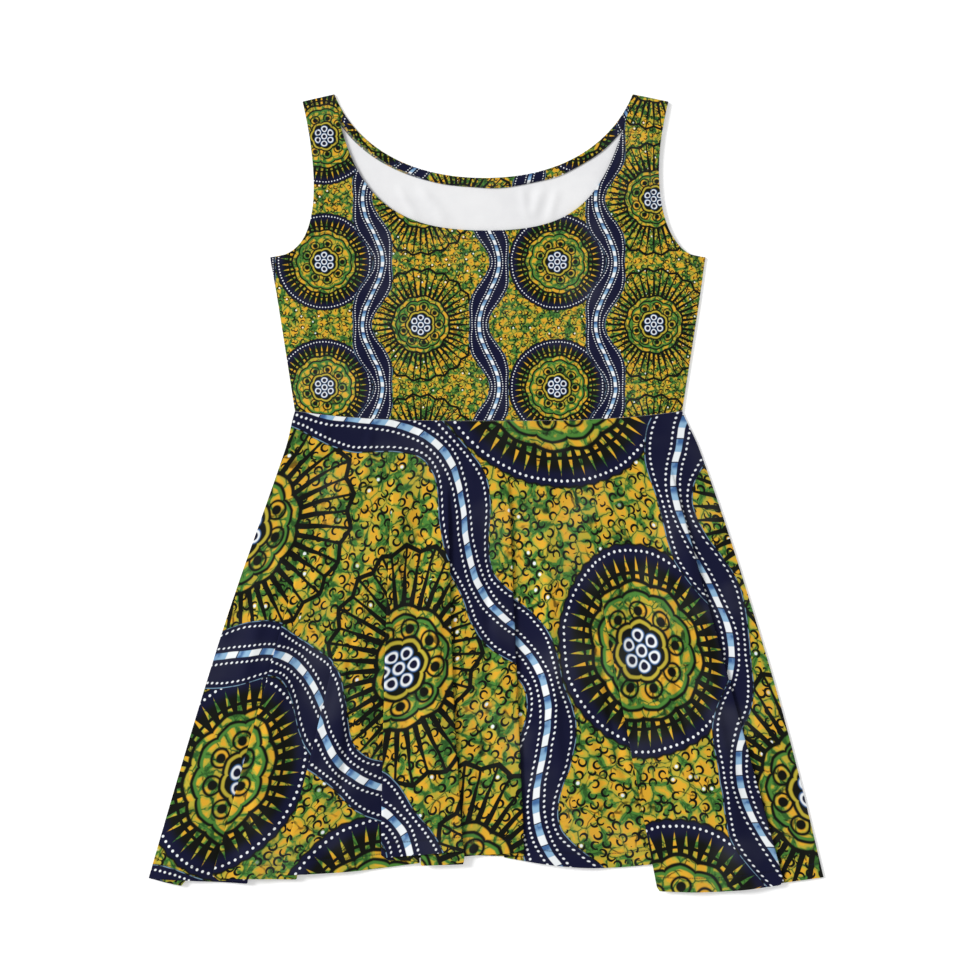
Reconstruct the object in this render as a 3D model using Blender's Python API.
"""Skater dress with a scoop neck and a flared skirt, laid flat on its back.

Metres, +Z up. The shoulders point to +Y and the hem to -Y. The origin lies under the middle of the
dress's box, on the surface that the dress rests on. Each panel is one wall of cloth: its middle
surface is worked out from the sizes below, and the wall grows half its thickness to either side.
"""

import math
from collections import namedtuple

import bpy

# The cloth
WALL = 0.0010
SEAM_GAP = 0.0003
BODICE_GAP = 0.0016  # air between front and back away from the seams: room for the neck hem
SKIRT_GAP = 0.0005
EASE_IN = 0.018  # how far from a side seam the front takes to reach that height
SHOULDER_EASE = 0.008  # and from a shoulder seam

# Overall sizes
DRESS_LENGTH = 0.877
HEM_SPAN = 0.742
TOP_Y = DRESS_LENGTH / 2

# Bodice, half widths from its middle line and heights up the dress
WAIST_HALF = 0.2128
BUST_HALF = 0.2392
WAIST_Y = 0.0795
WAIST_SIDE_RISE = 0.0109
UNDERARM_Y = 0.2593
NECK_HALF = 0.1640
SHOULDER_HALF = 0.2010
SHOULDER_DROP = 0.0082
FRONT_NECK_Y = 0.2886
BACK_NECK_Y = 0.3467
LOW_MIDDLE_X = 0.0027  # the bodice lies a little askew: its middle line at the bust and waist
HIGH_MIDDLE_X = -0.0028  # and at the shoulders
MIDDLE_LEAN_Y = 0.20  # it leans over from this height,
MIDDLE_LEAN_RUN = 0.20  # and within this much more
ARMHOLE_SHIFT = 0.0021  # both armholes lie this much further to the right,
ARMHOLE_SHIFT_Y = 0.25  # from this height,
ARMHOLE_SHIFT_RUN = 0.03  # and within this much more

Point = namedtuple("Point", "x y")
# Handles that bend the two necklines and the armhole, in the bodice's own half. The front's
# neckline is pulled out further on the left (-1) than on the right (1).
FRONT_NECK_BENDS = {
    -1: (Point(0.0970, 0.2886), Point(0.1440, 0.3180)),
    1: (Point(0.0970, 0.2886), Point(0.1340, 0.3180)),
}
BACK_NECK_BEND = (Point(0.0875, 0.3467), Point(0.1425, 0.3855))
BACK_NECK_BENDS = {-1: BACK_NECK_BEND, 1: BACK_NECK_BEND}
ARMHOLE_BEND = (Point(0.1900, 0.2582), Point(0.1780, 0.3360))

# The hem that is turned in along the back neckline, whose right side shows inside the neck
NECK_HEM_DEPTH = 0.0105
NECK_HEM_END_DEPTH = 0.0070
NECK_HEM_INSET = 0.0006
NECK_HEM_END = 0.92  # share of the neckline from its middle to the shoulder that the strip follows

# How finely the bodice is divided
BODY_ROWS = 7
STRAP_ROWS = 13
BODICE_COLUMNS = 8

# Skirt: its two sides swell a little between waist and hem
LEFT_SWELL = 0.004
RIGHT_SWELL = 0.011
HIP_LEAN = 0.0034  # just below the waist both sides lean this much to the right,
HIP_SHARES = (0.08, 0.50)  # most at the first share of its length and not at all at the second
FOLD_RADIUS = 0.00085  # middle of the wall, where the cloth turns back on itself
FOLD_TURN = 0.24  # share of a fold's length over which it tips right over
FOLD_SLOPE = 0.030  # width of the slope from a fold's top down to the flat
FOLD_REST = 0.003  # flat stretch beyond an overlap before that slope begins
COVER_SLOPE = 0.036  # the same slope where the front crosses a fold of the back
TURN_STEPS = 3
RUN_STEP = 0.0145
SKIRT_ROWS = (0.0, 0.07, 0.14, 0.22, 0.31, 0.41, 0.51, 0.61, 0.71, 0.81, 0.91, 1.0)

# One row for each fold, from left to right. waist_x and hem_x place its visible edge, bow is how far
# that edge bends sideways midway down, starts is the share of the skirt's length above it, overlap
# is the width doubled under at the hem, and over says which side of the edge lies on top.
# hem_left and hem_right are the hem's height where the left and the right layer turn, tuck is how
# far the doubled part hangs lower than both, and belly how far the hem sags on the way to the next
# fold.
Fold = namedtuple("Fold", "name waist_x hem_x bow starts overlap over hem_left hem_right tuck belly")
FRONT_FOLDS = (
    Fold("far_left", -0.160, -0.300, 0.000, 0.30, 0.036, "right", -0.4289, -0.4228, 0.000, 0.000),
    Fold("left", -0.118, -0.226, 0.008, 0.50, 0.016, "right", -0.4242, -0.4190, 0.000, 0.003),
    Fold("left_middle", -0.099, -0.115, -0.003, 0.08, 0.040, "right", -0.4064, -0.4006, 0.000, 0.000),
    Fold("middle", -0.040, -0.0243, -0.006, 0.12, 0.042, "left", -0.3926, -0.4036, 0.010, -0.001),
    Fold("right_middle", 0.022, 0.0417, 0.000, 0.08, 0.020, "left", -0.3964, -0.4006, 0.000, 0.010),
    Fold("right", 0.089, 0.187, 0.000, 0.28, 0.028, "right", -0.4031, -0.4371, 0.000, 0.004),
    Fold("far_right", 0.187, 0.3266, 0.000, 0.08, 0.031, "left", -0.4300, -0.4327, 0.000, 0.000),
)
BACK_FOLDS = (
    Fold("back_edge", -0.165, -0.3312, 0.000, 0.40, 0.015, "left", -0.4322, -0.4240, 0.000, 0.000),
    Fold("back_far_left", -0.140, -0.250, 0.006, 0.28, 0.028, "right", -0.4190, -0.4200, 0.0, 0.001),
    Fold("back_left", -0.092, -0.160, 0.000, 0.16, 0.030, "left", -0.4100, -0.4085, 0.000, 0.001),
    Fold("back_middle", -0.014, -0.060, -0.004, 0.12, 0.026, "right", -0.3975, -0.3965, 0.0, 0.000),
    Fold("back_right", 0.065, 0.104, 0.000, 0.20, 0.032, "left", -0.4020, -0.3995, 0.000, 0.000),
    Fold("back_far_right", 0.138, 0.244, 0.005, 0.26, 0.028, "right", -0.4050, -0.4180, 0.0, 0.001),
)
HEM_LEFT_Y = -0.4234
HEM_RIGHT_Y = -0.4222

CLOTH_NAVY = (0.014, 0.012, 0.033)
CLOTH_GREEN = (0.150, 0.240, 0.045)
CLOTH_GOLD = (0.480, 0.300, 0.030)
CLOTH_ROUGHNESS = 0.80


def clear_scene():
    for thing in list(bpy.data.objects):
        bpy.data.objects.remove(thing)


def mix(a, b, share):
    return a + (b - a) * share


def ease(share):
    """0 below 0, 1 above 1, and a smooth step between."""
    share = min(max(share, 0.0), 1.0)
    return share * share * (3.0 - 2.0 * share)


def bezier(start, handles, end, share):
    """A point on the cubic curve from start to end."""
    away = 1.0 - share
    weights = (away**3, 3 * away**2 * share, 3 * away * share**2, share**3)
    points = (start, *handles, end)
    return Point(
        sum(w * p.x for w, p in zip(weights, points)),
        sum(w * p.y for w, p in zip(weights, points)),
    )


def middle_x(y):
    """The bodice's middle line at this height."""
    return mix(LOW_MIDDLE_X, HIGH_MIDDLE_X, ease((y - MIDDLE_LEAN_Y) / MIDDLE_LEAN_RUN))


def waist_y(x):
    """The waist seam, which climbs towards the sides."""
    share = min(abs(x - LOW_MIDDLE_X) / WAIST_HALF, 1.0)
    return WAIST_Y + WAIST_SIDE_RISE * share**3


def make_wall(name, points, faces, colour):
    """A closed wall of cloth around a middle surface, with its own material."""
    mesh = bpy.data.meshes.new(name)
    mesh.from_pydata([tuple(p) for p in points], [], faces)
    mesh.validate()
    thing = bpy.data.objects.new(name, mesh)
    bpy.context.scene.collection.objects.link(thing)
    wall = thing.modifiers.new("wall", "SOLIDIFY")
    wall.thickness = WALL
    wall.offset = 0.0
    wall.use_even_offset = False
    wall.use_rim = True
    mesh.shade_smooth()
    mesh.set_sharp_from_angle(angle=math.radians(40))
    cloth = bpy.data.materials.new(name + "_cloth")
    cloth.use_nodes = True
    shader = cloth.node_tree.nodes["Principled BSDF"]
    shader.inputs["Base Color"].default_value = (*colour, 1.0)
    shader.inputs["Roughness"].default_value = CLOTH_ROUGHNESS
    shader.inputs["Metallic"].default_value = 0.0
    mesh.materials.append(cloth)
    return thing


def grid_faces(rows, columns):
    """Quads over rows of points laid one after another, facing up."""
    faces = []
    for r in range(rows - 1):
        for c in range(columns - 1):
            a = r * columns + c
            faces.append((a, a + columns, a + columns + 1, a + 1))
    return faces


def neckline(bottom_y, bend, share):
    """From the neckline's middle to the inner end of the shoulder seam."""
    return bezier(Point(0.0, bottom_y), bend, Point(NECK_HALF, TOP_Y), share)


def inner_edge(bottom_y, bend, row):
    """The middle line up to the neck, and then the neckline."""
    if row <= BODY_ROWS:
        return Point(0.0, mix(WAIST_Y, bottom_y, row / BODY_ROWS))
    to_go = (BODY_ROWS + STRAP_ROWS - row) / STRAP_ROWS
    return neckline(bottom_y, bend, 1.0 - to_go**1.5)  # rows close up towards the shoulder


def outer_edge(row):
    """The side seam up to the underarm, and then the armhole."""
    if row < BODY_ROWS:
        share = row / (BODY_ROWS - 1)
        waist_corner = WAIST_Y + WAIST_SIDE_RISE
        return Point(mix(WAIST_HALF, BUST_HALF, share), mix(waist_corner, UNDERARM_Y, share))
    share = (row - BODY_ROWS + 1) / (STRAP_ROWS + 1)
    tip = Point(SHOULDER_HALF, TOP_Y - SHOULDER_DROP)
    return bezier(Point(BUST_HALF, UNDERARM_Y), ARMHOLE_BEND, tip, share)


def bodice_point(bottom_y, bend, row, column, side):
    """A point of one half of the bodice. side is 1 for +X and -1 for -X."""
    share = column / BODICE_COLUMNS
    inner = inner_edge(bottom_y, bend, row)
    outer = outer_edge(row)
    x = mix(inner.x, outer.x, share)
    y = mix(inner.y, outer.y, share)
    # Rows near the waist bend as the waist seam does
    along_seam = WAIST_SIDE_RISE * (share**3 - share)
    y += along_seam * max(0.0, 1.0 - row / BODY_ROWS)
    if row == 0:
        y += SEAM_GAP / 2
    shift = ARMHOLE_SHIFT * share * ease((y - ARMHOLE_SHIFT_Y) / ARMHOLE_SHIFT_RUN)
    return Point(middle_x(y) + side * x + shift, y)


def back_bodice_height(place, row, column):
    """The back lies flat on the surface."""
    return WALL / 2


def front_bodice_height(place, row, column):
    """The front lies on the back, and comes down to it at the side and shoulder seams."""
    lift = 0.0
    if row < BODY_ROWS + STRAP_ROWS:
        lift = ease((TOP_Y - place.y) / SHOULDER_EASE)
    if row < BODY_ROWS:
        from_side = (1.0 - column / BODICE_COLUMNS) * outer_edge(row).x
        lift *= ease(from_side / EASE_IN)
    return WALL * 1.5 + mix(SEAM_GAP, BODICE_GAP, lift)


def make_bodice(name, bottom_y, bends, height, colour):
    """Both halves of a bodice panel with its straps. They share the middle line below the neck."""
    points = []
    index = {}
    for side in (1, -1):
        for row in range(BODY_ROWS + STRAP_ROWS + 1):
            for column in range(BODICE_COLUMNS + 1):
                shared = side == -1 and column == 0 and row <= BODY_ROWS
                if shared:
                    index[side, row, column] = index[1, row, 0]
                    continue
                place = bodice_point(bottom_y, bends[side], row, column, side)
                index[side, row, column] = len(points)
                points.append((place.x, place.y, height(place, row, column)))
    faces = []
    for side in (1, -1):
        for row in range(BODY_ROWS + STRAP_ROWS):
            for column in range(BODICE_COLUMNS):
                corners = [
                    index[side, row, column],
                    index[side, row, column + 1],
                    index[side, row + 1, column + 1],
                    index[side, row + 1, column],
                ]
                faces.append(corners if side == 1 else corners[::-1])
    return make_wall(name, points, faces, colour)


def make_neck_hem():
    """The turned-in strip along the back neckline, lying on the back panel's inner side."""
    steps = 2 * STRAP_ROWS + 2
    rows = []
    for inner in (False, True):
        row = []
        for step in range(steps + 1):
            share = (2.0 * step / steps - 1.0) * NECK_HEM_END
            wide = mix(NECK_HEM_DEPTH, NECK_HEM_END_DEPTH, abs(share))
            depth = NECK_HEM_INSET + (wide if inner else 0.0)
            side = 1 if share >= 0 else -1
            here = neckline(BACK_NECK_Y, BACK_NECK_BEND, abs(share))
            nudge = 0.001
            ahead = neckline(BACK_NECK_Y, BACK_NECK_BEND, abs(share) + nudge)
            length = math.hypot(ahead.x - here.x, ahead.y - here.y)
            out_x = (ahead.y - here.y) / length
            out_y = -(ahead.x - here.x) / length
            if abs(share) < nudge:
                out_x = 0.0
            x = here.x + out_x * depth
            y = here.y + out_y * depth
            height = WALL + SEAM_GAP + WALL / 2
            row.append((middle_x(y) + side * x, y, height))
        rows.append(row)
    points = rows[1] + rows[0]
    faces = [face[::-1] for face in grid_faces(2, steps + 1)]
    return make_wall("back_neck_hem", points, faces, CLOTH_GOLD)


def skirt_side(share, side):
    """The skirt's left or right edge, side -1 or 1, at this share of its length."""
    waist = LOW_MIDDLE_X + side * WAIST_HALF
    swell = LEFT_SWELL if side < 0 else RIGHT_SWELL
    peak, end = HIP_SHARES
    lean = HIP_LEAN * ease(share / peak) * (1.0 - ease((share - peak) / (end - peak)))
    swollen = side * swell * math.sin(math.pi * share)
    return mix(waist, side * HEM_SPAN / 2, share) + swollen + lean


def fold_opening(fold, share):
    """How far a fold has tipped over, as an angle, and the width doubled under, at this share."""
    gone = max(0.0, (share - fold.starts) / (1.0 - fold.starts))
    angle = math.pi * ease(gone / FOLD_TURN)
    width = fold.overlap * max(0.0, (gone - FOLD_TURN) / (1.0 - FOLD_TURN))
    return angle, width


def fold_curve(angle, width):
    """The cloth's path through a fold as (x, height) steps: over the edge, back and on again.

    Each of the two turns has the same length of cloth however far the fold has tipped over.
    """
    turn_step = math.pi * FOLD_RADIUS / TURN_STEPS
    headings = [angle * (k + 0.5) / TURN_STEPS for k in range(TURN_STEPS)]
    steps = [(turn_step, heading) for heading in headings]
    steps.append((max(width, turn_step * 0.5), angle))
    steps += [(turn_step, heading) for heading in reversed(headings)]
    x = height = 0.0
    path = [(x, height)]
    for length, heading in steps:
        x += length * math.cos(heading)
        height += length * math.sin(heading)
        path.append((x, height))
    return path


def fold_path(fold, share):
    """(x, height) along a fold at this share of the skirt's length, from left to right."""
    angle, width = fold_opening(fold, share)
    path = fold_curve(angle, width)
    reach = mix(math.pi * FOLD_RADIUS, FOLD_RADIUS, angle / math.pi)
    edge = mix(fold.waist_x, fold.hem_x, share) + fold.bow * 4 * share * (1 - share)
    if fold.over == "right":
        end = path[-1][0]
        return [(edge + reach + x - end, height) for x, height in path]
    rise = path[-1][1]
    return [(edge - reach + x, rise - height) for x, height in path]


def fold_spans(folds, share):
    """For each fold its (left, right, rise): the stretch that is layered, and how high."""
    spans = []
    for fold in folds:
        path = fold_path(fold, share)
        left = min(x for x, _ in path)
        right = max(x for x, _ in path)
        spans.append((left, right, max(height for _, height in path)))
    return spans


def run_height(x, before, after, start_rise, end_rise):
    """Height of the cloth between two folds. before and after are where its slopes may begin."""
    slope = FOLD_SLOPE
    if not (start_rise and end_rise):
        slope = min(FOLD_SLOPE, after - before)
    from_start = start_rise * (1.0 - ease((x - before) / slope))
    from_end = end_rise * (1.0 - ease((after - x) / slope))
    return max(from_start, from_end)


def skirt_section(folds, share):
    """The skirt's whole width at one share of its length, as a list of (x, height, hem height)."""
    left, right = skirt_side(share, -1), skirt_side(share, 1)
    spans = fold_spans(folds, share)
    section = []
    start_x, start_hem, start_rise, before, belly = left, HEM_LEFT_Y, 0.0, left, 0.0
    hem_x = -HEM_SPAN / 2
    for number in range(len(folds) + 1):
        if number < len(folds):
            fold, (span_left, span_right, rise) = folds[number], spans[number]
            path = fold_path(fold, share)
            end_x, end_hem, next_hem_x = path[0][0], fold.hem_left, fold.hem_x
            end_rise = rise if fold.over == "left" else 0.0
            after = span_left - FOLD_REST
        else:
            end_x, end_hem, end_rise, after, next_hem_x = right, HEM_RIGHT_Y, 0.0, right, HEM_SPAN / 2
        steps = max(3, round((next_hem_x - hem_x) / RUN_STEP))
        for step in range(steps + 1):
            along = step / steps
            x = mix(start_x, end_x, along)
            hem = mix(start_hem, end_hem, along) - belly * math.sin(math.pi * along)
            height = run_height(x, before, after, start_rise, end_rise)
            section.append((x, height, hem))
        if number == len(folds):
            break
        for k, (x, height) in enumerate(path[1:-1], 1):
            last = len(path) - 1
            hem = mix(fold.hem_left, fold.hem_right, k / last)
            hem -= fold.tuck * min(1.0, k / TURN_STEPS, (last - k) / TURN_STEPS)
            section.append((x, height, hem))
        start_x, start_hem, belly, hem_x = path[-1][0], fold.hem_right, fold.belly, fold.hem_x
        start_rise = rise if fold.over == "right" else 0.0
        before = span_right + FOLD_REST
    return section


def cover_height(x, share):
    """How far the back's folds lift the front that lies across them."""
    lifted = 0.0
    for left, right, rise in fold_spans(BACK_FOLDS, share):
        away = max(left - FOLD_REST - x, x - right - FOLD_REST, 0.0)
        lifted = max(lifted, rise * (1.0 - ease(away / COVER_SLOPE)))
    return lifted


def back_skirt_base(x, share):
    """Middle of the back's wall where it isn't folded."""
    return WALL / 2


def front_skirt_base(x, share):
    """Middle of the front's wall where it isn't folded: on the back, and down to it at the sides."""
    from_side = min(x - skirt_side(share, -1), skirt_side(share, 1) - x)
    gap = mix(SEAM_GAP, SKIRT_GAP, ease(from_side / EASE_IN))
    return WALL * 1.5 + gap + cover_height(x, share) * ease(from_side / EASE_IN)


def make_skirt(name, folds, base, colour):
    """A flared panel: one section of its folded width for each row from waist to hem."""
    points = []
    for share in SKIRT_ROWS:
        widen = (skirt_side(share, 1) - skirt_side(share, -1)) / (2 * WAIST_HALF)
        section = skirt_section(folds, share)
        for x, height, hem in section:
            seam = waist_y(LOW_MIDDLE_X + (x - LOW_MIDDLE_X) / widen) - SEAM_GAP / 2
            points.append((x, mix(seam, hem, share), base(x, share) + height))
    faces = [face[::-1] for face in grid_faces(len(SKIRT_ROWS), len(section))]
    return make_wall(name, points, faces, colour)


clear_scene()
make_bodice("back_bodice", BACK_NECK_Y, BACK_NECK_BENDS, back_bodice_height, CLOTH_NAVY)
make_bodice("front_bodice", FRONT_NECK_Y, FRONT_NECK_BENDS, front_bodice_height, CLOTH_GREEN)
make_neck_hem()
make_skirt("back_skirt", BACK_FOLDS, back_skirt_base, CLOTH_NAVY)
make_skirt("front_skirt", FRONT_FOLDS, front_skirt_base, CLOTH_GREEN)
